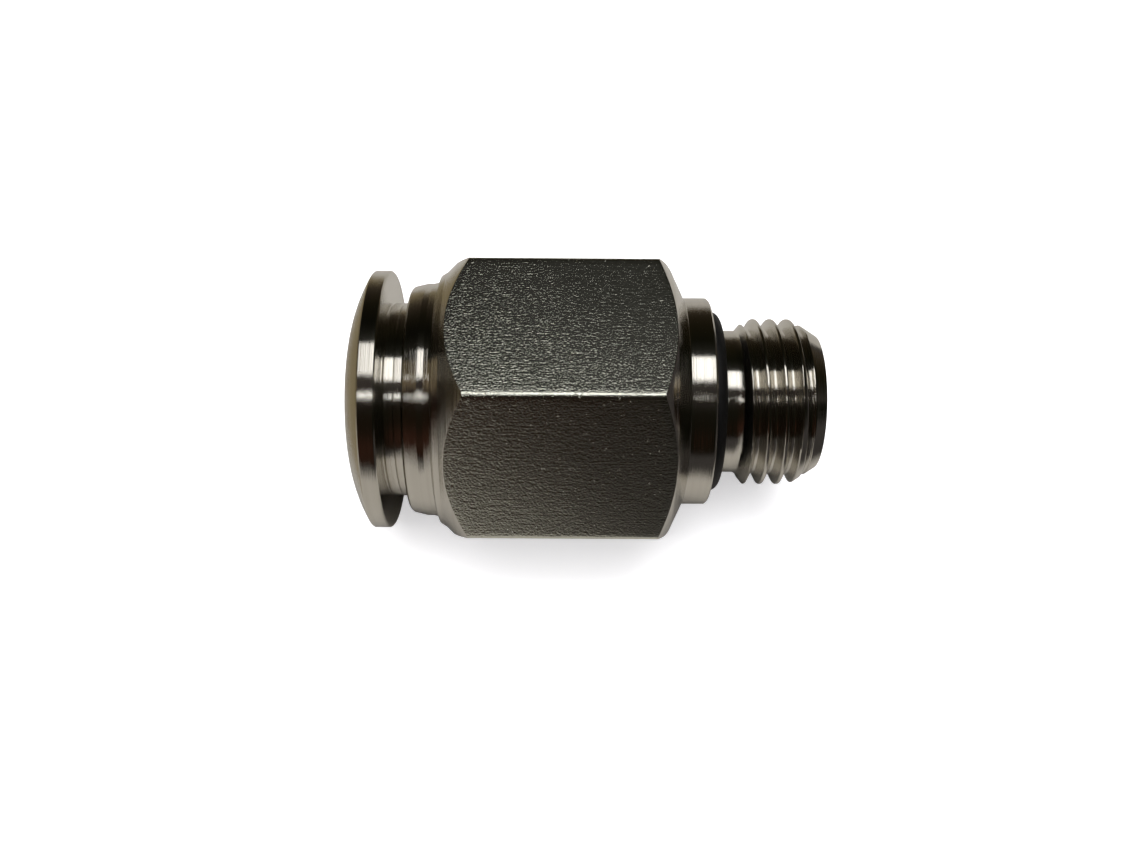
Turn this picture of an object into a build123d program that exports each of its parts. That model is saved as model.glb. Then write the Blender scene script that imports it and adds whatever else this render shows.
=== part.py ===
from build123d import *

import os
from math import cos, radians, sqrt, tan

# Straight push-in fitting for a 12 mm tube, with a G 1/4 parallel thread and a captive port seal.
# Millimetres. +X runs along the axis from the tube end to the thread, and +Z is up. The origin is the
# centre of the collar's sealing face, and the fitting lies on one flat of its hexagon.
# Places are measured along X from the origin, and radii from the axis.

# Tube, and its pocket in front of the stop
tube_diameter = 12.0
pocket_clearance = 0.05
pocket_length = 4.2
pocket_chamfer = 0.3
tube_stop = -7.0

# Tube seal, an O-ring with play in its room at the end of the chamber
tube_seal_cord = 1.72
tube_seal_clearance = 0.04
tube_seal_play = 0.28

# Grip ring, a toothed spring steel washer
grip_thickness = 0.4
grip_clearance = 0.04
grip_rim_width = 0.6
grip_bite = 0.2
grip_tilt = 34.0
grip_teeth = 12
grip_slot_width = 0.8
grip_slot_margin = 0.1

# Backing ring, between the tube seal and the grip ring's teeth
backing_clearance = 0.04
backing_bore_clearance = 0.3
backing_mouth_gap = 0.15
backing_swing_room = 0.456
backing_land = 0.7

# Guide bush, pressed into the chamber over the grip ring
bush_length = 5.6
bush_press_gap = 0.01
bush_chamfer = 0.2
bush_ledge_length = 2.6
bush_latch_wall = 0.44

# Nose, the thin front of the body: a slight cone, a land, a band, and a step with a lead to the hexagon's cone
nose_wall = 1.1
nose_mouth_depth = 1.76
nose_mouth_chamfer = 0.15
nose_chamfer = 0.15
nose_length = 1.15
nose_rise = 0.3
nose_land_length = 0.46
nose_band_length = 0.5
nose_band_rise = 0.12
nose_step_length = 0.17
nose_step_rise = 0.53
cone_lead_length = 0.48
cone_lead_rise = 0.3

# Hexagon, turned to a cone at each end
hex_flat_height = 0.35
hex_corner_round = 0.5
tube_cone_angle = 45.0
thread_cone_angle = 54.5
shoulder_angle = 64.3

# Thread, G 1/4: each turn is drawn as one closed ridge, because the helix is finer than this model needs
thread_diameter = 13.157
thread_pitch = 1.337
thread_depth_in_pitches = 0.6403
thread_flank_angle = 27.5
thread_end = 8.6
thread_taper_length = 2.0
thread_end_land = 0.4

# Neck between the collar and the thread, and the flow way inside it
neck_length = 2.52
neck_relief = 0.0925
neck_wall = 1.13
flow_chamfer = 0.4

# Port seal, an O-ring half sunk in the collar's face
port_seal_cord = 1.5
port_seal_clearance = 0.02
port_groove_depth = 0.58
port_groove_clearance = 0.14

# Collar
collar_length = 1.96
collar_land = 0.9
collar_chamfer = 0.14

# Release button: rim, neck, and a split sleeve with a latch that keeps it in the bush
button_travel = 1.2
button_stop_gap = 0.05
button_bore_clearance = 0.15
button_neck_clearance = 0.145
button_lip_round = 0.3
button_dome_height = 1.45
button_dome_bulge = 0.155
neck_chamfer = 0.1
rim_pressed_gap = 0.49
rim_width = 1.35
rim_inset = 0.32
rim_bevel = 0.12
undercut_width = 0.24
undercut_depth = 0.15
scribe_offset = 0.72
scribe_depth = 0.05
sleeve_running_clearance = 0.08
sleeve_tip_gap = 0.4
sleeve_tip_bevel = 0.3
sleeve_slots = 4
sleeve_slot_width = 1.0
sleeve_slot_length = 3.6
latch_running_clearance = 0.1
latch_height = 0.35
latch_length = 0.55
latch_play = 0.05
latch_lead = 0.5

# Radii that follow, from the tube outwards
tube_radius = tube_diameter / 2
pocket_radius = tube_radius + pocket_clearance
tube_seal_radius = tube_radius + tube_seal_clearance + tube_seal_cord / 2
chamber_radius = tube_seal_radius + tube_seal_cord / 2 + tube_seal_clearance
nose_radius = chamber_radius + nose_wall
land_radius = nose_radius + nose_rise
band_radius = land_radius + nose_band_rise
step_radius = band_radius + nose_step_rise
tube_cone_radius = step_radius + cone_lead_rise
flat_radius = tube_cone_radius + hex_flat_height
corner_radius = flat_radius * 2 / sqrt(3)
rim_radius = flat_radius - rim_inset
grip_tip_radius = tube_radius - grip_bite
grip_bend_radius = chamber_radius - grip_rim_width
backing_bore_radius = tube_radius + backing_bore_clearance
backing_mouth_radius = grip_bend_radius + backing_mouth_gap
bush_radius = chamber_radius - bush_press_gap
bush_latch_radius = bush_radius - bush_latch_wall
button_neck_radius = chamber_radius - button_neck_clearance
button_bore_radius = tube_radius + button_bore_clearance
latch_radius = bush_latch_radius - latch_running_clearance
sleeve_radius = latch_radius - latch_height
bush_bore_radius = sleeve_radius + sleeve_running_clearance

# Radii that follow, from the thread
thread_depth = thread_pitch * thread_depth_in_pitches
flank_length = thread_depth * tan(radians(thread_flank_angle))
crest_width = thread_pitch / 2 - flank_length
crest_radius = thread_diameter / 2
root_radius = crest_radius - thread_depth
neck_radius = root_radius - neck_relief
flow_radius = neck_radius - neck_wall
thread_end_radius = flow_radius + flow_chamfer + thread_end_land
port_seal_radius = neck_radius + port_seal_clearance + port_seal_cord / 2
port_groove_radius = port_seal_radius + port_seal_cord / 2 + port_groove_clearance
collar_radius = port_groove_radius + collar_land

# Places that follow, from the tube stop towards the button
grip_tilt_slope = tan(radians(grip_tilt))
grip_lean = (grip_bend_radius - grip_tip_radius) * grip_tilt_slope
chamber_end = tube_stop - pocket_length
tube_seal_place = chamber_end - tube_seal_clearance - tube_seal_cord / 2
backing_end = chamber_end - tube_seal_cord - tube_seal_play
backing_cone_end = backing_end - backing_land
backing_front = backing_cone_end - grip_lean - backing_swing_room
grip_front = backing_front - grip_thickness
bush_front = grip_front - bush_length
bush_ledge = bush_front + bush_ledge_length
nose_front = bush_front - nose_mouth_depth
land_start = nose_front + nose_length
band_start = land_start + nose_land_length
step_start = band_start + nose_band_length
cone_lead_start = step_start + nose_step_length
tube_cone_start = cone_lead_start + cone_lead_length
tube_cone_end = tube_cone_start + (corner_radius - tube_cone_radius) / tan(radians(tube_cone_angle))
shoulder_start = -collar_length - (flat_radius - collar_radius) / tan(radians(shoulder_angle))
thread_cone_start = shoulder_start - (corner_radius - flat_radius) / tan(radians(thread_cone_angle))
port_seal_place = port_seal_cord / 2 + port_seal_clearance - port_groove_depth
rim_back = nose_front - button_travel - rim_pressed_gap
rim_front = rim_back - rim_width
button_front = rim_front - button_dome_height
scribe_place = nose_front - scribe_offset
button_neck_end = bush_front - button_travel - button_stop_gap
latch_front = bush_ledge + latch_play
latch_back = latch_front + latch_length
sleeve_tip = grip_front - sleeve_tip_gap


def turned_thread():
    """The thread's outline, from the neck to the end face, one ridge for each turn."""
    turns = int((thread_end - neck_length) // thread_pitch) + 1
    points = [(neck_length, root_radius)]
    for turn in range(turns):
        ridge = neck_length + turn * thread_pitch
        points += [
            (ridge + flank_length, crest_radius),
            (ridge + flank_length + crest_width, crest_radius),
            (ridge + 2 * flank_length + crest_width, root_radius),
            (ridge + thread_pitch, root_radius),
        ]
    return points


# The body is one piece: a hexagon bar turned at both ends and bored through.
with BuildPart() as fitting_body:
    with BuildSketch(Plane.YZ.offset(nose_front)):
        bar = RegularPolygon(flat_radius, side_count=6, major_radius=False)
        fillet(bar.vertices(), radius=hex_corner_round)
    extrude(amount=-nose_front)
    with BuildSketch():
        with BuildLine():
            Polyline(
                (nose_front, 0),
                (nose_front, nose_radius - nose_chamfer),
                (nose_front + nose_chamfer, nose_radius),
                (land_start, land_radius),
                (band_start, land_radius),
                (step_start, band_radius),
                (cone_lead_start, step_radius),
                (tube_cone_start, tube_cone_radius),
                (tube_cone_end, corner_radius),
                (thread_cone_start, corner_radius),
                (shoulder_start, flat_radius),
                (-collar_length, collar_radius),
                (-collar_chamfer, collar_radius),
                (0, collar_radius - collar_chamfer),
                (0, 0),
                close=True,
            )
        make_face()
    revolve(axis=Axis.X, mode=Mode.INTERSECT)
    with BuildSketch():
        with BuildLine():
            Polyline(
                (-port_groove_depth, 0),
                (-port_groove_depth, neck_radius),
                (neck_length, neck_radius),
                *turned_thread(),
                (thread_end + thread_pitch, 0),
                close=True,
            )
        make_face()
        with BuildLine():
            Polyline(
                (-port_groove_depth, 0),
                (-port_groove_depth, crest_radius),
                (thread_end - thread_taper_length, crest_radius),
                (thread_end, thread_end_radius),
                (thread_end, 0),
                close=True,
            )
        make_face(mode=Mode.INTERSECT)
    revolve(axis=Axis.X)
    with BuildSketch(Plane.YZ.offset(-port_groove_depth)):
        Circle(port_groove_radius)
        Circle(neck_radius, mode=Mode.SUBTRACT)
    extrude(amount=port_groove_depth, mode=Mode.SUBTRACT)
    with BuildSketch():
        with BuildLine():
            Polyline(
                (nose_front, 0),
                (nose_front, chamber_radius + nose_mouth_chamfer),
                (nose_front + nose_mouth_chamfer, chamber_radius),
                (chamber_end, chamber_radius),
                (chamber_end, pocket_radius + pocket_chamfer),
                (chamber_end + pocket_chamfer, pocket_radius),
                (tube_stop, pocket_radius),
                (tube_stop, flow_radius),
                (thread_end - flow_chamfer, flow_radius),
                (thread_end, flow_radius + flow_chamfer),
                (thread_end, 0),
                close=True,
            )
        make_face()
    revolve(axis=Axis.X, mode=Mode.SUBTRACT)

# The release button is turned in one piece, then its sleeve is split so that the latch can spring in.
with BuildPart() as release_button:
    with BuildSketch():
        with BuildLine():
            lip_centre = (button_front + button_lip_round, button_bore_radius + button_lip_round)
            CenterArc(lip_centre, button_lip_round, 180, 90)
            SagittaArc(
                (button_front, button_bore_radius + button_lip_round),
                (rim_front, rim_radius - rim_bevel),
                button_dome_bulge,
            )
            Polyline(
                (rim_front, rim_radius - rim_bevel),
                (rim_front + rim_bevel, rim_radius),
                (rim_back - rim_bevel, rim_radius),
                (rim_back, rim_radius - rim_bevel),
                (rim_back, button_neck_radius - undercut_depth),
                (rim_back + undercut_width - undercut_depth, button_neck_radius - undercut_depth),
                (rim_back + undercut_width, button_neck_radius),
                (scribe_place - scribe_depth, button_neck_radius),
                (scribe_place, button_neck_radius - scribe_depth),
                (scribe_place + scribe_depth, button_neck_radius),
                (button_neck_end - neck_chamfer, button_neck_radius),
                (button_neck_end, button_neck_radius - neck_chamfer),
                (button_neck_end, sleeve_radius),
                (latch_front, sleeve_radius),
                (latch_front, latch_radius),
                (latch_back, latch_radius),
                (latch_back + latch_lead, sleeve_radius),
                (sleeve_tip - sleeve_tip_bevel, sleeve_radius),
                (sleeve_tip, sleeve_radius - sleeve_tip_bevel),
                (sleeve_tip, button_bore_radius),
                (button_front + button_lip_round, button_bore_radius),
            )
        make_face()
    revolve(axis=Axis.X)
    slot_reach = latch_radius + latch_height
    with BuildSketch(Plane.YZ.offset(sleeve_tip - sleeve_slot_length)):
        with PolarLocations(slot_reach / 2, sleeve_slots):
            Rectangle(slot_reach, sleeve_slot_width)
    extrude(amount=sleeve_slot_length, mode=Mode.SUBTRACT)

# The guide bush carries the button's sleeve and clamps the grip ring.
with BuildPart() as guide_bush:
    with BuildSketch():
        with BuildLine():
            Polyline(
                (bush_front, bush_bore_radius),
                (bush_front, bush_radius - bush_chamfer),
                (bush_front + bush_chamfer, bush_radius),
                (grip_front, bush_radius),
                (grip_front, bush_latch_radius),
                (bush_ledge, bush_latch_radius),
                (bush_ledge, bush_bore_radius),
                close=True,
            )
        make_face()
    revolve(axis=Axis.X)

# The grip ring's teeth lean towards the tube stop, so a tube slides in and can't slide out.
with BuildPart() as grip_ring:
    tilt = radians(grip_tilt)
    with BuildSketch():
        with BuildLine():
            Polyline(
                (grip_front, chamber_radius - grip_clearance),
                (grip_front, grip_bend_radius),
                (grip_front + grip_lean, grip_tip_radius),
                (grip_front + grip_lean + grip_thickness / cos(tilt), grip_tip_radius),
                (backing_front, grip_bend_radius + grip_thickness * tan(tilt / 2)),
                (backing_front, chamber_radius - grip_clearance),
                close=True,
            )
        make_face()
    revolve(axis=Axis.X)
    grip_slot_radius = grip_bend_radius - grip_slot_margin
    with BuildSketch(Plane.YZ.offset(grip_front)):
        with PolarLocations(grip_slot_radius / 2, grip_teeth):
            Rectangle(grip_slot_radius, grip_slot_width)
    extrude(amount=grip_lean + 2 * grip_thickness, mode=Mode.SUBTRACT)

# The backing ring leaves room for the teeth to swing and keeps them off the seal.
with BuildPart() as backing_ring:
    with BuildSketch():
        with BuildLine():
            Polyline(
                (backing_front, backing_mouth_radius),
                (backing_front, chamber_radius - backing_clearance),
                (backing_end, chamber_radius - backing_clearance),
                (backing_end, backing_bore_radius),
                (backing_cone_end, backing_bore_radius),
                close=True,
            )
        make_face()
    revolve(axis=Axis.X)

with BuildPart() as tube_seal:
    with BuildSketch():
        with Locations((tube_seal_place, tube_seal_radius)):
            Circle(tube_seal_cord / 2)
    revolve(axis=Axis.X)

with BuildPart() as port_seal:
    with BuildSketch():
        with Locations((port_seal_place, port_seal_radius)):
            Circle(port_seal_cord / 2)
    revolve(axis=Axis.X)

pieces = {
    "fitting_body": fitting_body,
    "release_button": release_button,
    "guide_bush": guide_bush,
    "grip_ring": grip_ring,
    "backing_ring": backing_ring,
    "tube_seal": tube_seal,
    "port_seal": port_seal,
}

os.makedirs("parts", exist_ok=True)
for name, piece in pieces.items():
    piece.part.label = name
    export_step(piece.part, f"parts/{name}.step")
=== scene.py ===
import bpy
from math import asin, atan, cos, hypot, pi, radians, sin, sqrt, tan
from mathutils import Matrix, Vector


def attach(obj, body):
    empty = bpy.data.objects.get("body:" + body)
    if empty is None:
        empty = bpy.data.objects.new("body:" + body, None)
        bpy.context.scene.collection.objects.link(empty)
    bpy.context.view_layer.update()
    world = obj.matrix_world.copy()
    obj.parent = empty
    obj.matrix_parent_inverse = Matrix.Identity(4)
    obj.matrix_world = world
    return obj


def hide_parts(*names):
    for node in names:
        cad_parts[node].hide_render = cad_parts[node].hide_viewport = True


# Straight push-in fitting. The pieces are turned outlines in millimetres, (place along X, radius), swept
# round the X axis and scaled to metres at the end. Angles run from +Y towards +Z.
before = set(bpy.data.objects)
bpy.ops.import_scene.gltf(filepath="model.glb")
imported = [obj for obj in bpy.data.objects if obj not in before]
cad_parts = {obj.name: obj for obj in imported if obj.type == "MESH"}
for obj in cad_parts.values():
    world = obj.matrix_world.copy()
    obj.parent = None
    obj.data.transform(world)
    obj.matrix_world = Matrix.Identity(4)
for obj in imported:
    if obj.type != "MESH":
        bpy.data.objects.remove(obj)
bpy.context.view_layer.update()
print("frame loaded:", ", ".join(sorted(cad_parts)))


# Camera, fitted to the photograph with the hexagon taken as 21 mm
camera = {
    "aimPlace": -11.451,   # the point on the fitting's axis that it is placed from, mm
    "distance": 90.60,     # from that point to the lens, along the line of sight, mm
    "drop": 1.617,         # how far below that point the line of sight passes in the picture, mm
    "elevation": 59.53,    # degrees, as roll and yaw
    "roll": 0.36,
    "yaw": -0.204,
    "lens": 36.376,        # mm, as the sensor's width
    "sensorWidth": 36,
    "nearest": 0.001,      # metres
}
lift = radians(camera["elevation"])
towardLens = Vector((0, -cos(lift), sin(lift)))
pictureUp = Vector((0, sin(lift), cos(lift)))
cameraData = bpy.data.cameras.new("photoCamera")
cameraData.lens = camera["lens"]
cameraData.sensor_width = camera["sensorWidth"]
cameraData.sensor_fit = "HORIZONTAL"
cameraData.clip_start = camera["nearest"]
cameraObject = bpy.data.objects.new("photoCamera", cameraData)
bpy.context.scene.collection.objects.link(cameraObject)
turn = Matrix((Vector((1, 0, 0)), pictureUp, towardLens)).transposed().to_4x4()
turn = turn @ Matrix.Rotation(radians(camera["roll"]), 4, "Z")
turn = turn @ Matrix.Rotation(radians(camera["yaw"]), 4, "Y")
up, back = turn.col[1].to_3d(), turn.col[2].to_3d()
lensPlace = Vector((camera["aimPlace"], 0, 0)) + back * camera["distance"] - up * camera["drop"]
cameraObject.matrix_world = Matrix.Translation(lensPlace / 1000) @ turn
bpy.context.scene.camera = cameraObject
print("camera placed")


# Outlines and turned meshes
bendShape = {
    "steps": 4,            # straight pieces in each rounded corner
    "runShare": 0.48,      # the most of a run that one rounding takes
    "leastReach": 0.002,   # mm
}


def roundOutline(corners):
    # corners: (place, radius, rounding, cuts on the run to the next corner), open at both ends
    shares = [k / bendShape["steps"] for k in range(bendShape["steps"] + 1)]
    points = [Vector(corner[:2]) for corner in corners]
    bends = []
    for i, corner in enumerate(corners):
        rounding = corner[2]
        if rounding == 0 or i in (0, len(corners) - 1):
            bends.append([points[i]])
            continue
        behind, ahead = points[i - 1] - points[i], points[i + 1] - points[i]
        longest = bendShape["runShare"] * min(behind.length, ahead.length)
        reach = min(max(rounding / tan(behind.angle(ahead) / 2), bendShape["leastReach"]), longest)
        first, last = behind.normalized() * reach, ahead.normalized() * reach
        bends.append([points[i] + first * (1 - s) ** 2 + last * s ** 2 for s in shares])
    outline = []
    for i, bend in enumerate(bends):
        outline += [tuple(p) for p in bend]
        cuts = corners[i][3]
        if i + 1 < len(bends):
            start, end = bend[-1], bends[i + 1][0]
            outline += [tuple(start.lerp(end, k / (cuts + 1))) for k in range(1, cuts + 1)]
    return outline


def spin(place, radius, angle):
    return (place / 1000, radius * cos(angle) / 1000, radius * sin(angle) / 1000)


largeFaceWeight = 80   # large faces decide the shading at an edge, so that they look flat


def makePiece(name, verts, faces, body, node):
    mesh = bpy.data.meshes.new(name)
    mesh.from_pydata(verts, [], faces)
    mesh.validate()
    mesh.shade_smooth()
    piece = bpy.data.objects.new(name, mesh)
    bpy.context.scene.collection.objects.link(piece)
    weighted = piece.modifiers.new("flatFaces", "WEIGHTED_NORMAL")
    weighted.weight = largeFaceWeight
    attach(piece, body)
    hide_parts(node)
    print(name, "made:", len(faces), "faces")
    return piece


# The body: hexagon bar turned at both ends, bored through, with a right-hand thread
bodyShape = {
    "noseFront": -23.06, "noseRadius": 8.96, "noseBevel": 0.15, "mouthBevel": 0.15,
    "landStart": -21.91, "landRadius": 9.20, "bandStart": -21.45, "bandRadius": 9.32,
    "stepStart": -20.95, "leadStart": -20.78, "leadRadius": 9.85,
    "coneStart": -20.30, "coneRadius": 10.15,   # a 45 degree cone rises from here to the hexagon
    "flatRadius": 10.5, "cornerRound": 0.5, "edgeRound": 0.07,
    "shoulderAngle": 64.3, "threadConeAngle": 54.5,
    "shoulderGap": 0.001,                       # parts the hexagon's edge from the shoulder at mid flat
    "collarStart": -1.96, "collarRadius": 8.19, "collarBevel": 0.14,
    "grooveRadius": 7.29, "grooveDepth": 0.58, "neckRadius": 5.63,
    "endRadius": 5.3, "boreRadius": 4.5, "boreBevel": 0.4, "tubeStop": -7.0,
    "pocketRadius": 6.05, "pocketMouth": -11.2, "pocketBevel": 0.3, "chamberRadius": 7.8,
    "cornerSteps": 6, "flatColumns": 36,
}
threadShape = {
    "pitch": 1.337, "crest": 6.5785, "root": 5.7224, "crestWidth": 0.2228, "flank": 0.4457, "rounding": 0.13,
    "crestAtTop": 3.68, "topAngle": 30.0,       # the place of one crest, at this angle round the axis
    "start": 2.30, "startRise": 3.05, "taperStart": 6.6, "end": 8.6,
    "headroom": 1.0,                            # the cones at the ends stop this far above the crests
    "endGap": 0.012,                            # rows nearer than this to either end join it
    "spareTurns": 3,                            # laid out beyond either end, and cut off there
}


def hexReach(angle):
    # distance from the axis to the hexagon's outside; the flats look to 30, 90, 150 ... degrees
    s = bodyShape
    lean = abs((angle - radians(30) + pi / 6) % (pi / 3) - pi / 6)
    centre = (s["flatRadius"] - s["cornerRound"]) / cos(pi / 6)
    if lean < atan(tan(pi / 6) * (s["flatRadius"] - s["cornerRound"]) / s["flatRadius"]):
        return s["flatRadius"] / cos(lean)
    aside = pi / 6 - lean
    return centre * cos(aside) + sqrt(s["cornerRound"] ** 2 - (centre * sin(aside)) ** 2)


def bodyAngles():
    s = bodyShape
    halfCorner = pi / 6 - atan(tan(pi / 6) * (s["flatRadius"] - s["cornerRound"]) / s["flatRadius"])
    angles = []
    for side in range(6):
        middle = side * pi / 3
        steps = s["cornerSteps"]
        angles += [middle + halfCorner * (2 * k / steps - 1) for k in range(steps + 1)]
        start, span = middle + halfCorner, pi / 3 - 2 * halfCorner
        angles += [start + span * k / s["flatColumns"] for k in range(1, s["flatColumns"])]
    return angles


def bodyOutside(angle):
    s = bodyShape
    reach, edge = hexReach(angle), s["edgeRound"]
    tubeEdge = s["coneStart"] + reach - s["coneRadius"]
    shoulder = s["collarStart"] - (s["flatRadius"] - s["collarRadius"]) / tan(radians(s["shoulderAngle"]))
    coneRun = (reach - s["flatRadius"]) / tan(radians(s["threadConeAngle"]))
    threadEdge = shoulder - coneRun - s["shoulderGap"]
    front, nose, collar = s["noseFront"], s["noseRadius"], s["collarRadius"]
    return roundOutline([
        (front, s["chamberRadius"] + s["mouthBevel"], 0, 1),
        (front, nose - s["noseBevel"], 0.05, 0),
        (front + s["noseBevel"], nose, 0.05, 2),
        (s["landStart"], s["landRadius"], 0.10, 1),
        (s["bandStart"], s["landRadius"], 0.10, 1),
        (s["stepStart"], s["bandRadius"], 0.05, 0),
        (s["leadStart"], s["leadRadius"], 0.07, 1),
        (s["coneStart"], s["coneRadius"], 0.25, 4),
        (tubeEdge, reach, edge, 22),
        (threadEdge, reach, edge, 1),
        (shoulder, s["flatRadius"], 0.02, 5),
        (s["collarStart"], collar, 0.08, 3),
        (-s["collarBevel"], collar, 0.06, 0),
        (0, collar - s["collarBevel"], 0.06, 1),
        (0, s["grooveRadius"], 0.06, 0),
        (-s["grooveDepth"], s["grooveRadius"], 0.06, 1),
        (-s["grooveDepth"], s["neckRadius"], 0.06, 4),
        (threadShape["start"], s["neckRadius"], 0, 0),
    ])


def bodyInside():
    s = bodyShape
    end, stop, mouth = threadShape["end"], s["tubeStop"], s["pocketMouth"]
    bore, pocket, chamber = s["boreRadius"], s["pocketRadius"], s["chamberRadius"]
    return roundOutline([
        (end, s["endRadius"], 0, 1),
        (end, bore + s["boreBevel"], 0.05, 0),
        (end - s["boreBevel"], bore, 0.05, 8),
        (stop, bore, 0.06, 2),
        (stop, pocket, 0.08, 4),
        (mouth + s["pocketBevel"], pocket, 0.05, 0),
        (mouth, pocket + s["pocketBevel"], 0.05, 1),
        (mouth, chamber, 0.06, 8),
        (s["noseFront"] + s["mouthBevel"], chamber, 0.05, 0),
        (s["noseFront"], chamber + s["mouthBevel"], 0, 0),
    ])[:-1]


def threadTurn():
    # one turn's outline from root middle to root middle, without its last point
    s = threadShape
    half = s["pitch"] / 2
    crestEdge = s["crestWidth"] / 2
    turn = roundOutline([
        (-half, s["root"], 0, 0),
        (-crestEdge - s["flank"], s["root"], s["rounding"], 3),
        (-crestEdge, s["crest"], s["rounding"], 1),
        (crestEdge, s["crest"], s["rounding"], 3),
        (crestEdge + s["flank"], s["root"], s["rounding"], 0),
        (half, s["root"], 0, 0),
    ])
    return turn[:-1]


def threadLimit(place):
    # the cone at the thread's start, its full height, and the cone at its end
    s = threadShape
    neck, end = bodyShape["neckRadius"], bodyShape["endRadius"]
    rise = neck + (s["crest"] - neck) * (place - s["start"]) / (s["startRise"] - s["start"])
    fall = s["crest"] + (end - s["crest"]) * (place - s["taperStart"]) / (s["end"] - s["taperStart"])
    return max(min(rise, s["crest"] + s["headroom"], fall), min(neck, fall))


def makeBody():
    s = threadShape
    angles = bodyAngles()
    columns = len(angles)
    verts, faces = [], []
    outside = [[] for _ in angles]
    for c, angle in enumerate(angles):
        for place, radius in bodyOutside(angle):
            outside[c].append(len(verts))
            verts.append(spin(place, radius, angle))
    inside = [[] for _ in angles]
    for c, angle in enumerate(angles):
        for place, radius in bodyInside():
            inside[c].append(len(verts))
            verts.append(spin(place, radius, angle))

    # The thread's rows follow the helix. A row that has left the thread at either end is the last row of the
    # neck, or the first of the end face.
    turn = threadTurn()
    perTurn = len(turn)
    reachTurns = int((s["end"] - s["start"]) / s["pitch"]) + s["spareTurns"]
    firstCrest = s["crestAtTop"] - s["pitch"] * s["topAngle"] / 360
    rows = range(-perTurn * s["spareTurns"], perTurn * (reachTurns + 1))

    def rawPoint(row, angle):
        turns, step = divmod(row, perTurn)
        place = firstCrest + s["pitch"] * (turns - 1 + angle / (2 * pi)) + turn[step][0]
        return place, turn[step][1]

    grid = []
    for c, angle in enumerate(angles):
        column = {}
        for row in rows:
            place, radius = rawPoint(row, angle)
            if place <= s["start"] + s["endGap"]:
                column[row] = outside[c][-1]
            elif place >= s["end"] - s["endGap"]:
                column[row] = inside[c][0]
            else:
                # where the outline crosses the cone between two rows, this row moves to the crossing
                gap = threadLimit(place) - radius
                for other in (row - 1, row + 1):
                    otherPlace, otherRadius = rawPoint(other, angle)
                    otherGap = threadLimit(otherPlace) - otherRadius
                    if gap * otherGap < 0 and abs(gap) <= abs(otherGap):
                        share = gap / (gap - otherGap)
                        place, radius = (place + (otherPlace - place) * share,
                                         radius + (otherRadius - radius) * share)
                        break
                radius = min(radius, threadLimit(place))
                column[row] = len(verts)
                verts.append(spin(place, radius, angle))
        grid.append(column)

    def addFace(*corners):
        ring = [v for i, v in enumerate(corners) if v != corners[i - 1]]
        if len(set(ring)) == len(ring) and len(ring) > 2:
            faces.append(ring)

    for c in range(columns):
        d = (c + 1) % columns
        for a, b in zip(range(len(outside[c]) - 1), range(1, len(outside[c]))):
            addFace(outside[c][a], outside[c][b], outside[d][b], outside[d][a])
        for a, b in zip(range(len(inside[c]) - 1), range(1, len(inside[c]))):
            addFace(inside[c][a], inside[c][b], inside[d][b], inside[d][a])
        addFace(inside[c][-1], outside[c][0], outside[d][0], inside[d][-1])
        for row in rows[:-1]:
            if d:
                near, far = grid[d].get(row), grid[d].get(row + 1)
            else:
                near, far = grid[0].get(row + perTurn), grid[0].get(row + 1 + perTurn)
            if near is None or far is None:
                continue
            addFace(grid[c][row], grid[c][row + 1], far, near)
    return makePiece("turnedBody", verts, faces, "fitting", "fitting_body")


turnedBody = makeBody()


# The release button: domed rim, neck, and a sleeve split in four behind its latch
buttonShape = {
    "front": -27.55, "lipRound": 0.3, "lipSteps": 6, "boreRadius": 6.15, "rimFront": -26.10,
    "rimBack": -24.75, "rimRadius": 10.18, "rimBevel": 0.12, "domeBulge": 0.155, "domeSteps": 18,
    "undercutWidth": 0.24, "undercutDepth": 0.15, "neckRadius": 7.655, "scribe": -23.78, "scribeDepth": 0.05,
    "neckEnd": -22.55, "neckBevel": 0.1, "sleeveRadius": 6.9, "latchFront": -18.65, "latchBack": -18.10,
    "latchLead": 0.5, "latchRadius": 7.25, "tip": -16.10, "tipBevel": 0.3, "slotStart": -19.70,
    "slotWidth": 1.0, "slots": 4, "columnsPerSlot": 72,
}


def domeRun(start, end, bulge, steps):
    # points on an arc from start to end that stands out by bulge, without its two ends
    start, end = Vector(start), Vector(end)
    chord = end - start
    radius = (chord.length ** 2 / 4 + bulge ** 2) / (2 * bulge)
    outward = Vector((-chord.y, chord.x)).normalized()
    centre = (start + end) / 2 - outward * (radius - bulge)
    first, last = start - centre, end - centre
    return [tuple(centre + first.slerp(last, k / steps) * radius) for k in range(1, steps)]


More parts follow.
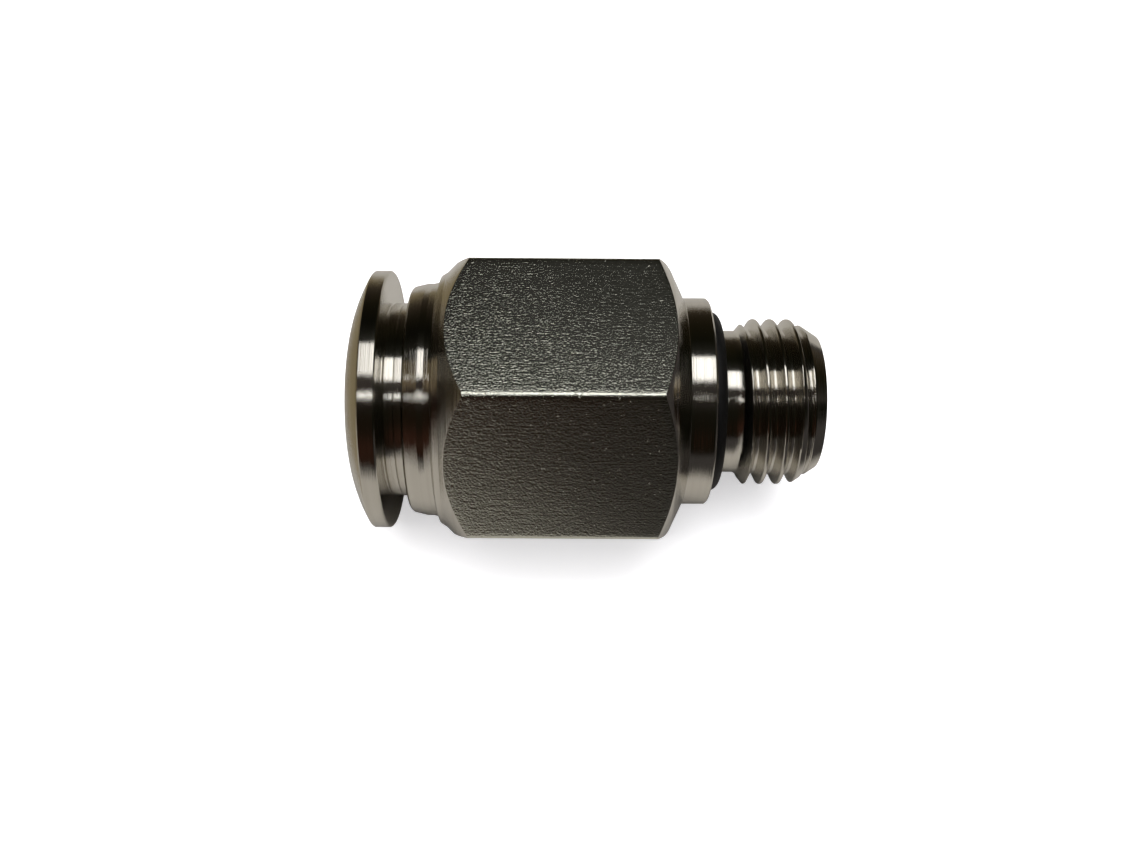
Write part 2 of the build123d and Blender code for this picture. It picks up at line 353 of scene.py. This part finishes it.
def buttonOutline():
    # the outside from the lip to the tip, then the bore back to the lip, and the numbers of the two points
    # between which the slots are cut
    s = buttonShape
    lip, lipSteps = s["lipRound"], s["lipSteps"]
    lipTop = (s["front"], s["boreRadius"] + lip)
    rimEdge = (s["rimFront"], s["rimRadius"] - s["rimBevel"])
    lipTurns = [k * pi / (2 * lipSteps) for k in range(lipSteps + 1)]
    lipArc = [(s["front"] + lip - lip * sin(a), s["boreRadius"] + lip - lip * cos(a)) for a in lipTurns]
    dome = domeRun(lipTop, rimEdge, s["domeBulge"], s["domeSteps"])
    under = s["neckRadius"] - s["undercutDepth"]
    bevel, groove, neckBevel = s["rimBevel"], s["scribeDepth"], s["neckBevel"]
    rest = roundOutline([
        dome[-1] + (0, 0),
        rimEdge + (0.06, 0),
        (s["rimFront"] + bevel, s["rimRadius"], 0.06, 3),
        (s["rimBack"] - bevel, s["rimRadius"], 0.06, 0),
        (s["rimBack"], s["rimRadius"] - bevel, 0.06, 3),
        (s["rimBack"], under, 0.04, 0),
        (s["rimBack"] + s["undercutWidth"] - s["undercutDepth"], under, 0.04, 0),
        (s["rimBack"] + s["undercutWidth"], s["neckRadius"], 0.04, 2),
        (s["scribe"] - groove, s["neckRadius"], 0.01, 0),
        (s["scribe"], s["neckRadius"] - groove, 0.01, 0),
        (s["scribe"] + groove, s["neckRadius"], 0.01, 2),
        (s["neckEnd"] - neckBevel, s["neckRadius"], 0.03, 0),
        (s["neckEnd"], s["neckRadius"] - neckBevel, 0.03, 0),
        (s["neckEnd"], s["sleeveRadius"], 0.05, 4),
        (s["slotStart"], s["sleeveRadius"], 0, 0),
    ])[1:]
    sleeve = [
        (s["latchFront"], s["sleeveRadius"], 0.03, 0),
        (s["latchFront"], s["latchRadius"], 0.05, 0),
        (s["latchBack"], s["latchRadius"], 0.05, 0),
        (s["latchBack"] + s["latchLead"], s["sleeveRadius"], 0.05, 1),
        (s["tip"] - s["tipBevel"], s["sleeveRadius"], 0.05, 0),
        (s["tip"], s["sleeveRadius"] - s["tipBevel"], 0.05, 0),
        (s["tip"], s["boreRadius"], 0.05, 5),
        (s["slotStart"], s["boreRadius"], 0, 0),
    ]
    slotted = roundOutline([(s["slotStart"], s["sleeveRadius"], 0, 0)] + sleeve)[1:]
    bore = roundOutline([(s["slotStart"], s["boreRadius"], 0, 8), (s["front"] + lip, s["boreRadius"], 0, 0)])
    head = lipArc + dome + rest
    outline = head + slotted + bore[1:-1]
    return outline, len(head) - 1, len(head) + len(slotted) - 1


def makeButton():
    s = buttonShape
    outline, slotFirst, slotLast = buttonOutline()
    slots, perSlot = s["slots"], s["columnsPerSlot"]
    columns = slots * perSlot
    verts, faces = [], []

    def turnOf(column, radius):
        # column 0 of each quarter is the slot's middle, 1 and the last one are its walls
        slot, k = divmod(column, perSlot)
        wall = asin(s["slotWidth"] / 2 / radius)
        if k == 0:
            return slot * 2 * pi / slots
        share = (k - 1) / (perSlot - 2)
        return slot * 2 * pi / slots + wall + (2 * pi / slots - 2 * wall) * share

    ring = []
    for c in range(columns):
        ring.append([])
        for place, radius in outline:
            ring[c].append(len(verts))
            verts.append(spin(place, radius, turnOf(c, radius)))
    count = len(outline)
    for c in range(columns):
        d = (c + 1) % columns
        inSlot = c % perSlot in (0, perSlot - 1)
        for a in range(count):
            b = (a + 1) % count
            if not (inSlot and slotFirst <= a < slotLast):
                faces.append((ring[c][a], ring[c][b], ring[d][b], ring[d][a]))
        if c % perSlot == 1:
            faces.append([ring[c][a] for a in range(slotFirst, slotLast + 1)][::-1])
        if c % perSlot == perSlot - 1:
            faces.append([ring[c][a] for a in range(slotFirst, slotLast + 1)])
        if inSlot:
            faces.append((ring[c][slotLast], ring[c][slotFirst], ring[d][slotFirst], ring[d][slotLast]))
    used = sorted({v for face in faces for v in face})
    fresh = {old: new for new, old in enumerate(used)}
    verts = [verts[v] for v in used]
    faces = [[fresh[v] for v in face] for face in faces]
    return makePiece("releaseButton", verts, faces, "button", "release_button")


releaseButton = makeButton()


# The port seal, half sunk in the collar's face
sealShape = {"place": 0.19, "radius": 6.40, "cord": 1.5, "around": 192, "section": 32}


def makeSeal():
    s = sealShape
    around, section = s["around"], s["section"]
    verts, faces = [], []
    for c in range(around):
        for k in range(section):
            angle = 2 * pi * k / section
            place = s["place"] + s["cord"] / 2 * cos(angle)
            radius = s["radius"] + s["cord"] / 2 * sin(angle)
            verts.append(spin(place, radius, 2 * pi * c / around))
    for c in range(around):
        d = (c + 1) % around
        for k in range(section):
            m = (k + 1) % section
            faces.append((c * section + k, d * section + k, d * section + m, c * section + m))
    return makePiece("portSeal", verts, faces, "fitting", "port_seal")


portSeal = makeSeal()


# Materials
def addNode(tree, kind, inputs=None, **settings):
    node = tree.nodes.new(kind)
    for name, value in settings.items():
        setattr(node, name, value)
    for name, value in (inputs or {}).items():
        socket = node.inputs[name]
        if isinstance(value, bpy.types.NodeSocket):
            tree.links.new(value, socket)
        else:
            socket.default_value = value
    return node


def addMath(tree, operation, first, second=0.0):
    return addNode(tree, "ShaderNodeMath", {0: first, 1: second}, operation=operation).outputs[0]


def newGroup(name, inputs, outputs):
    group = bpy.data.node_groups.new(name, "ShaderNodeTree")
    for socket, value in inputs.items():
        made = group.interface.new_socket(socket, in_out="INPUT", socket_type="NodeSocketFloat")
        made.default_value = value
    for socket in outputs:
        group.interface.new_socket(socket, in_out="OUTPUT", socket_type="NodeSocketFloat")
    return group, group.nodes.new("NodeGroupInput").outputs, group.nodes.new("NodeGroupOutput").inputs


def objectMillimetres(tree):
    place = addNode(tree, "ShaderNodeTexCoord").outputs["Object"]
    scaled = addNode(tree, "ShaderNodeVectorMath", {0: place, 1: (1000, 1000, 1000)}, operation="MULTIPLY")
    return scaled.outputs[0]


latheMarks = {
    "faceShare": 0.83,       # how close the circles on a face lie, against the rings along a cylinder
    "driftScale": 0.35, "driftDetail": 1.0,
    "fineDetail": 4.0, "fineRoughness": 0.7,
    "streakScale": 0.13, "streakDetail": 2.0,
}


def turningLinesGroup():
    # fine rings left by the lathe: rings along a cylinder, circles on a face
    marks = latheMarks
    tree, given, out = newGroup("turningLines", {"Lines": 14.0, "Wander": 0.02}, ["Height", "Streak"])
    place = objectMillimetres(tree)
    split = addNode(tree, "ShaderNodeSeparateXYZ", {0: place})
    radial = addNode(tree, "ShaderNodeCombineXYZ", {"Y": split.outputs["Y"], "Z": split.outputs["Z"]})
    radius = addNode(tree, "ShaderNodeVectorMath", {0: radial.outputs[0]}, operation="LENGTH")
    onFace = addMath(tree, "MULTIPLY", radius.outputs["Value"], marks["faceShare"])
    along = addMath(tree, "ADD", split.outputs["X"], onFace)
    drift = addNode(tree, "ShaderNodeTexNoise",
                    {"Vector": place, "Scale": marks["driftScale"], "Detail": marks["driftDetail"]})
    along = addMath(tree, "ADD", along, addMath(tree, "MULTIPLY", drift.outputs["Fac"], given["Wander"]))
    along = addMath(tree, "MULTIPLY", along, given["Lines"])
    fine = addNode(tree, "ShaderNodeTexNoise",
                   {"W": along, "Scale": 1.0, "Detail": marks["fineDetail"],
                    "Roughness": marks["fineRoughness"]}, noise_dimensions="1D")
    coarse = addNode(tree, "ShaderNodeTexNoise",
                     {"W": along, "Scale": marks["streakScale"], "Detail": marks["streakDetail"]},
                     noise_dimensions="1D")
    tree.links.new(fine.outputs["Fac"], out["Height"])
    tree.links.new(coarse.outputs["Fac"], out["Streak"])
    return tree


platingMarks = {
    "detail": 2.0, "noiseRoughness": 0.6,
    "linesShare": 0.45,      # height of the drawing lines, against the matt grain
    "sparkScale": 0.8, "sparkDetail": 1.0, "speckFrom": 0.72, "speckFull": 0.76,
    "raggedScale": 3.0, "dentCore": 0.01, "dentEdge": 0.06,
}


def platingGrainGroup():
    # the matt grain, lengthwise drawing lines, specks and small dents of plating over a drawn bar
    marks = platingMarks
    tree, given, out = newGroup("platingGrain", {"Grain": 4.5, "Stretch": 0.12, "Dents": 0.42},
                                ["Height", "Speck", "Dent"])
    place = objectMillimetres(tree)
    stretch = addNode(tree, "ShaderNodeCombineXYZ", {"X": given["Stretch"], "Y": 1.0, "Z": 1.0})
    drawn = addNode(tree, "ShaderNodeVectorMath", {0: place, 1: stretch.outputs[0]}, operation="MULTIPLY")
    noise = {"Scale": given["Grain"], "Detail": marks["detail"], "Roughness": marks["noiseRoughness"]}
    brush = addNode(tree, "ShaderNodeTexNoise", dict(noise, Vector=drawn.outputs[0]))
    cells = addNode(tree, "ShaderNodeTexNoise", dict(noise, Vector=place))
    lines = addMath(tree, "MULTIPLY", brush.outputs["Fac"], marks["linesShare"])
    height = addMath(tree, "ADD", lines, cells.outputs["Fac"])
    sparkScale = addMath(tree, "MULTIPLY", given["Grain"], marks["sparkScale"])
    sparks = addNode(tree, "ShaderNodeTexNoise",
                     {"Vector": place, "Scale": sparkScale, "Detail": marks["sparkDetail"]})
    speck = addNode(tree, "ShaderNodeMapRange",
                    {"Value": sparks.outputs["Fac"], "From Min": marks["speckFrom"],
                     "From Max": marks["speckFull"]})
    ragged = addNode(tree, "ShaderNodeTexNoise", {"Vector": place, "Scale": marks["raggedScale"]})
    ragged = addNode(tree, "ShaderNodeVectorMath", {0: ragged.outputs["Color"], 1: place}, operation="ADD")
    dents = addNode(tree, "ShaderNodeTexVoronoi",
                    {"Vector": ragged.outputs[0], "Scale": given["Dents"], "Randomness": 1.0})
    dent = addNode(tree, "ShaderNodeMapRange",
                   {"Value": dents.outputs["Distance"], "From Min": marks["dentCore"],
                    "From Max": marks["dentEdge"], "To Min": 1.0, "To Max": 0.0})
    tree.links.new(height, out["Height"])
    tree.links.new(speck.outputs["Result"], out["Speck"])
    tree.links.new(dent.outputs["Result"], out["Dent"])
    return tree


turningLines = turningLinesGroup()
platingGrain = platingGrainGroup()


def newMaterial(name, **sockets):
    material = bpy.data.materials.new(name)
    material.use_nodes = True
    tree = material.node_tree
    shader = tree.nodes["Principled BSDF"]
    for socket, value in sockets.items():
        shader.inputs[socket].default_value = value
    return material, tree, shader


def placeGroup(tree, group, inputs):
    node = tree.nodes.new("ShaderNodeGroup")
    node.node_tree = group
    for name, value in inputs.items():
        node.inputs[name].default_value = value
    return node


def addBump(tree, height, strength, distance, normal=None):
    inputs = {"Height": height, "Strength": strength, "Distance": distance}
    if normal is not None:
        inputs["Normal"] = normal
    return addNode(tree, "ShaderNodeBump", inputs).outputs["Normal"]


def mixColours(tree, share, first, second):
    mix = addNode(tree, "ShaderNodeMix", {"Factor": share}, data_type="RGBA")
    for socket, value in ((6, first), (7, second)):
        if isinstance(value, bpy.types.NodeSocket):
            tree.links.new(value, mix.inputs[socket])
        else:
            mix.inputs[socket].default_value = value
    return mix.outputs[2]


nickel = {
    "colour": (0.67, 0.645, 0.59, 1), "dullColour": (0.55, 0.52, 0.46, 1),
    "roughness": 0.07, "streakRoughness": 0.06,   # the streaks add the second to the first
    "lines": 14.0, "lineDepth": 0.00005, "lineStrength": 0.25,
}
buttonNickel = dict(nickel, lines=11.0)
brass = dict(nickel, colour=(0.80, 0.60, 0.30, 1), dullColour=(0.66, 0.47, 0.21, 1), roughness=0.2)
dullBrass = dict(nickel, colour=(0.78, 0.58, 0.29, 1), dullColour=(0.62, 0.45, 0.20, 1), roughness=0.24)
steel = dict(nickel, colour=(0.60, 0.60, 0.60, 1), dullColour=(0.48, 0.48, 0.49, 1), roughness=0.25)


def turnedMetal(name, settings):
    material, tree, shader = newMaterial(name, Metallic=1.0)
    rings = placeGroup(tree, turningLines, {"Lines": settings["lines"]})
    colour = mixColours(tree, rings.outputs["Streak"], settings["colour"], settings["dullColour"])
    tree.links.new(colour, shader.inputs["Base Color"])
    rough = addMath(tree, "MULTIPLY_ADD", rings.outputs["Streak"], settings["streakRoughness"])
    rough.node.inputs[2].default_value = settings["roughness"]
    tree.links.new(rough, shader.inputs["Roughness"])
    lined = addBump(tree, rings.outputs["Height"], settings["lineStrength"], settings["lineDepth"])
    tree.links.new(lined, shader.inputs["Normal"])
    return material


flatNickel = {
    "colour": (0.66, 0.66, 0.58, 1), "dullColour": (0.56, 0.56, 0.47, 1),
    "speckColour": (0.80, 0.80, 0.75, 1), "speckHeight": 0.7,
    "roughness": 0.22, "speckRoughness": -0.12,   # the specks add the second to the first
    "grain": 6.0, "grainDepth": 0.000028, "dentDepth": 0.00003,
    "tubeEnd": -20.0, "tubeEndGrain": 1.3, "threadEnd": -4.0, "threadEndGrain": 0.8,
    "mostLean": 0.1, "leastReach": 0.99,          # a flat's faces, by their normal and by their radius
}


def drawnNickel(name, settings):
    # the grain is deeper toward the tube end
    material, tree, shader = newMaterial(name, Metallic=1.0)
    grain = placeGroup(tree, platingGrain, {"Grain": settings["grain"]})
    speck = grain.outputs["Speck"]
    colour = mixColours(tree, grain.outputs["Height"], settings["dullColour"], settings["colour"])
    tree.links.new(mixColours(tree, speck, colour, settings["speckColour"]), shader.inputs["Base Color"])
    along = addNode(tree, "ShaderNodeSeparateXYZ", {0: objectMillimetres(tree)}).outputs["X"]
    deeper = addNode(tree, "ShaderNodeMapRange",
                     {"Value": along, "From Min": settings["tubeEnd"], "From Max": settings["threadEnd"],
                      "To Min": settings["tubeEndGrain"], "To Max": settings["threadEndGrain"]})
    height = addMath(tree, "MULTIPLY", grain.outputs["Height"], deeper.outputs["Result"])
    height = addMath(tree, "ADD", height, addMath(tree, "MULTIPLY", speck, settings["speckHeight"]))
    rough = addMath(tree, "MULTIPLY_ADD", speck, settings["speckRoughness"])
    rough.node.inputs[2].default_value = settings["roughness"]
    tree.links.new(rough, shader.inputs["Roughness"])
    sunk = addMath(tree, "MULTIPLY", grain.outputs["Dent"], -1.0)
    dented = addBump(tree, sunk, 1.0, settings["dentDepth"])
    tree.links.new(addBump(tree, height, 1.0, settings["grainDepth"], dented), shader.inputs["Normal"])
    return material


softSeal = {
    "colour": (0.012, 0.012, 0.012, 1), "roughness": 0.62,
    "bloom": 1.8, "bloomScale": 2.5, "bloomDetail": 4.0,
    "grainScale": 18.0, "grainDetail": 3.0, "grainStrength": 0.3, "grainDepth": 0.00002,
}


def rubber(name, settings):
    material, tree, shader = newMaterial(name, Roughness=settings["roughness"])
    place = objectMillimetres(tree)
    bloom = addNode(tree, "ShaderNodeTexNoise",
                    {"Vector": place, "Scale": settings["bloomScale"], "Detail": settings["bloomDetail"]})
    paler = tuple(c * settings["bloom"] for c in settings["colour"][:3]) + (1,)
    colour = mixColours(tree, bloom.outputs["Fac"], settings["colour"], paler)
    tree.links.new(colour, shader.inputs["Base Color"])
    grain = addNode(tree, "ShaderNodeTexNoise",
                    {"Vector": place, "Scale": settings["grainScale"], "Detail": settings["grainDetail"]})
    grained = addBump(tree, grain.outputs["Fac"], settings["grainStrength"], settings["grainDepth"])
    tree.links.new(grained, shader.inputs["Normal"])
    return material


turnedPlating = turnedMetal("turnedPlating", nickel)
buttonPlating = turnedMetal("buttonPlating", buttonNickel)
drawnPlating = drawnNickel("drawnPlating", flatNickel)
turnedBrass = turnedMetal("turnedBrass", brass)
backingBrass = turnedMetal("backingBrass", dullBrass)
springSteel = turnedMetal("springSteel", steel)
sealRubber = rubber("sealRubber", softSeal)

turnedBody.data.materials.append(turnedPlating)
turnedBody.data.materials.append(drawnPlating)
flatReach = bodyShape["flatRadius"] / 1000 * flatNickel["leastReach"]
for polygon in turnedBody.data.polygons:
    upright = abs(polygon.normal.x) < flatNickel["mostLean"]
    onFlat = upright and hypot(polygon.center.y, polygon.center.z) > flatReach
    polygon.material_index = 1 if onFlat else 0
releaseButton.data.materials.append(buttonPlating)
portSeal.data.materials.append(sealRubber)
for node, material in (("guide_bush", turnedBrass), ("backing_ring", backingBrass),
                       ("grip_ring", springSteel), ("tube_seal", sealRubber)):
    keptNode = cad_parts[node]
    keptNode.data.materials.clear()
    keptNode.data.materials.append(material)
    keptNode.data.shade_smooth()
print("materials made")


# The table: pale to the camera; reflected rays see a painted reflection instead: darker paper, painted dark
# in front of a slanting edge, and a painted tan reflection at the left
table = {
    "top": -10.5, "reach": 420, "steps": 24,
    "paper": (0.86, 0.855, 0.87, 1), "roughness": 0.85, "shadowLift": 0.62,
    "grainScale": 3.0, "grainShade": 0.985,
    "paintedPaperReflection": (0.34, 0.325, 0.30, 1), "paintedTanReflection": (0.15, 0.12, 0.065, 1),
    "paintedDarkReflection": (0.012, 0.009, 0.008, 1),
    "edgeX": 3, "edgeY": -29, "edgeSlope": 1.59, "edgeBlur": 9,   # the slanting line in front of which the painted reflection turns dark
    "paintedTanFromX": (-34, -40), "paintedTanFromY": (-16, -8),                # from no painted tan reflection to full
}


def softStep(tree, value, start, end):
    # 0 at start, 1 at end, smooth between; start may lie above end
    step = addNode(tree, "ShaderNodeMapRange", {"Value": value, "From Min": start, "From Max": end},
                   interpolation_type="SMOOTHSTEP")
    return step.outputs["Result"]


def makeTable():
    s = table
    steps, row = s["steps"], s["steps"] + 1
    spots = [s["reach"] * (2 * k / steps - 1) for k in range(row)]
    verts = [((x + camera["aimPlace"]) / 1000, y / 1000, s["top"] / 1000) for y in spots for x in spots]
    faces = [(j * row + i, j * row + i + 1, (j + 1) * row + i + 1, (j + 1) * row + i)
             for j in range(steps) for i in range(steps)]
    mesh = bpy.data.meshes.new("paleTable")
    mesh.from_pydata(verts, [], faces)
    floor = bpy.data.objects.new("paleTable", mesh)
    bpy.context.scene.collection.objects.link(floor)
    material, tree, shader = newMaterial("palePaper", Roughness=s["roughness"])
    place = objectMillimetres(tree)
    split = addNode(tree, "ShaderNodeSeparateXYZ", {0: place})
    x, y = split.outputs["X"], split.outputs["Y"]
    slant = addMath(tree, "MULTIPLY", addMath(tree, "SUBTRACT", x, s["edgeX"]), s["edgeSlope"])
    behindLine = addMath(tree, "SUBTRACT", y, slant)
    paperReflectionShare = softStep(tree, behindLine, s["edgeY"] - s["edgeBlur"], s["edgeY"] + s["edgeBlur"])
    # painted tan reflection at the left, seen only in the metal
    paintedTanShare = addMath(tree, "MULTIPLY", softStep(tree, x, *s["paintedTanFromX"]), softStep(tree, y, *s["paintedTanFromY"]))
    # painted reflection: reflected rays see these painted colours, darker paper behind the slanting edge and
    # painted dark in front of it
    paintedReflection = mixColours(tree, paperReflectionShare, s["paintedDarkReflection"], s["paintedPaperReflection"])
    paintedReflection = mixColours(tree, paintedTanShare, paintedReflection, s["paintedTanReflection"])
    grain = addNode(tree, "ShaderNodeTexNoise", {"Vector": place, "Scale": s["grainScale"]})
    shaded = tuple(c * s["grainShade"] for c in s["paper"][:3]) + (1,)
    paper = mixColours(tree, grain.outputs["Fac"], s["paper"], shaded)
    toCamera = addNode(tree, "ShaderNodeLightPath").outputs["Is Camera Ray"]
    tree.links.new(mixColours(tree, toCamera, paintedReflection, paper), shader.inputs["Base Color"])
    shader.inputs["Emission Color"].default_value = s["paper"]
    lifted = addMath(tree, "MULTIPLY", toCamera, s["shadowLift"])
    tree.links.new(lifted, shader.inputs["Emission Strength"])
    floor.data.materials.append(material)
    return floor


# The lamps: mm, degrees up from the viewer's horizon round the fitting's axis, aside along that axis
lamps = {
    "overheadSoftLight": {"angle": 93.5, "distance": 300, "aside": 18, "length": 186, "width": 142,
                          "radiance": 2.3},
    "slimFrontLight": {"angle": 61.5, "distance": 300, "aside": -84, "length": 124, "width": 8,
                       "radiance": 8.0},
    "slimEdgeLight": {"angle": 80.5, "distance": 300, "aside": -130, "length": 75, "width": 9,
                      "radiance": 3.0},
    "tanSideLight": {"angle": 88, "distance": 230, "aside": -300, "length": 110, "width": 150,
                     "radiance": 0.35, "colour": (1.0, 0.8, 0.48), "facesAim": True},
    "tableLamp": {"angle": 90, "distance": 520, "length": 620, "width": 620, "radiance": 3.6},
}


def addLight(name, angle, distance, length, width, radiance, aside=0, colour=(1, 1, 1), facesAim=False):
    # an area light that faces the fitting's axis square on, or with facesAim the camera's aim point
    light = bpy.data.lights.new(name, "AREA")
    light.shape = "RECTANGLE"
    light.size = length / 1000
    light.size_y = width / 1000
    light.energy = radiance * pi * light.size * light.size_y
    light.color = colour
    lamp = bpy.data.objects.new(name, light)
    a = radians(angle)
    aim = Vector((camera["aimPlace"], 0, 0)) / 1000
    lamp.location = aim + Vector((aside, -cos(a) * distance, sin(a) * distance)) / 1000
    away, along = Vector((0, -cos(a), sin(a))), Vector((1, 0, 0))
    if facesAim:
        away = (lamp.location - aim).normalized()
        along = Vector((0, 1, 0)).cross(away).normalized()
    lamp.rotation_euler = Matrix((along, away.cross(along), away)).transposed().to_euler()
    bpy.context.scene.collection.objects.link(lamp)
    return lamp


# What the bright metal reflects: colours by degrees round the fitting's axis, up from the viewer's horizon
surroundings = {
    "leftSide": [
        (-180, (0.10, 0.08, 0.05)), (-100, (0.02, 0.02, 0.02)), (-20, (0.024, 0.012, 0.008)),
        (15, (0.040, 0.017, 0.011)), (30, (0.014, 0.008, 0.005)), (50, (0.010, 0.007, 0.004)),
        (70, (0.036, 0.026, 0.022)), (108, (0.016, 0.015, 0.011)), (128, (0.003, 0.003, 0.002)),
        (150, (0.008, 0.007, 0.004)), (165, (0.026, 0.020, 0.013)), (176, (0.05, 0.04, 0.03)),
        (180, (0.10, 0.08, 0.05)),
    ],
    "rightSide": [
        (-180, (0.10, 0.08, 0.05)), (-100, (0.02, 0.02, 0.02)), (-20, (0.008, 0.008, 0.005)),
        (15, (0.005, 0.005, 0.003)), (45, (0.009, 0.009, 0.006)), (70, (0.040, 0.037, 0.033)),
        (108, (0.018, 0.018, 0.015)), (128, (0.006, 0.006, 0.003)), (150, (0.012, 0.010, 0.005)),
        (168, (0.022, 0.017, 0.010)), (176, (0.05, 0.04, 0.03)), (180, (0.10, 0.08, 0.05)),
    ],
    "leftToRight": (-0.12, 0.05),           # between these X of the direction the sides blend
    "beyondTable": (0.90, 0.90, 0.91, 1),   # what the camera sees there
}


def makeSurroundings():
    s = surroundings
    world = bpy.data.worlds.new("surroundings")
    bpy.context.scene.world = world
    world.use_nodes = True
    tree = world.node_tree
    tree.nodes.clear()
    way = addNode(tree, "ShaderNodeTexCoord").outputs["Generated"]
    split = addNode(tree, "ShaderNodeSeparateXYZ", {0: way})
    angle = addMath(tree, "ARCTAN2", split.outputs["Z"], addMath(tree, "MULTIPLY", split.outputs["Y"], -1.0))
    share = addMath(tree, "MULTIPLY_ADD", angle, 1 / (2 * pi))   # -180 degrees is 0 and 180 degrees is 1
    share.node.inputs[2].default_value = 0.5

    def addRamp(stops):
        ramp = addNode(tree, "ShaderNodeValToRGB", {"Fac": share})
        elements = ramp.color_ramp.elements
        elements.remove(elements[0])
        for k, (degreesUp, colour) in enumerate(stops):
            element = elements[0] if k == 0 else elements.new((degreesUp + 180) / 360)
            element.position = (degreesUp + 180) / 360
            element.color = colour + (1,)
        return ramp.outputs["Color"]

    leftSide, rightSide = addRamp(s["leftSide"]), addRamp(s["rightSide"])
    side = softStep(tree, split.outputs["X"], *s["leftToRight"])
    mirrored = addNode(tree, "ShaderNodeBackground", {"Color": mixColours(tree, side, leftSide, rightSide)})
    seen = addNode(tree, "ShaderNodeBackground", {"Color": s["beyondTable"]})
    path = addNode(tree, "ShaderNodeLightPath")
    mix = addNode(tree, "ShaderNodeMixShader", {0: path.outputs["Is Camera Ray"]})
    tree.links.new(mirrored.outputs[0], mix.inputs[1])
    tree.links.new(seen.outputs[0], mix.inputs[2])
    output = addNode(tree, "ShaderNodeOutputWorld")
    tree.links.new(mix.outputs[0], output.inputs["Surface"])


paleTable = makeTable()
makeSurroundings()
lights = {name: addLight(name, **settings) for name, settings in lamps.items()}
tableOnly = bpy.data.collections.new("tableOnly")   # the table lamp lights the table and nothing else
tableOnly.objects.link(paleTable)
lights["tableLamp"].light_linking.receiver_collection = tableOnly
bpy.context.scene.view_settings.view_transform = "Standard"
bpy.context.scene.view_settings.look = "None"
print("studio ready")
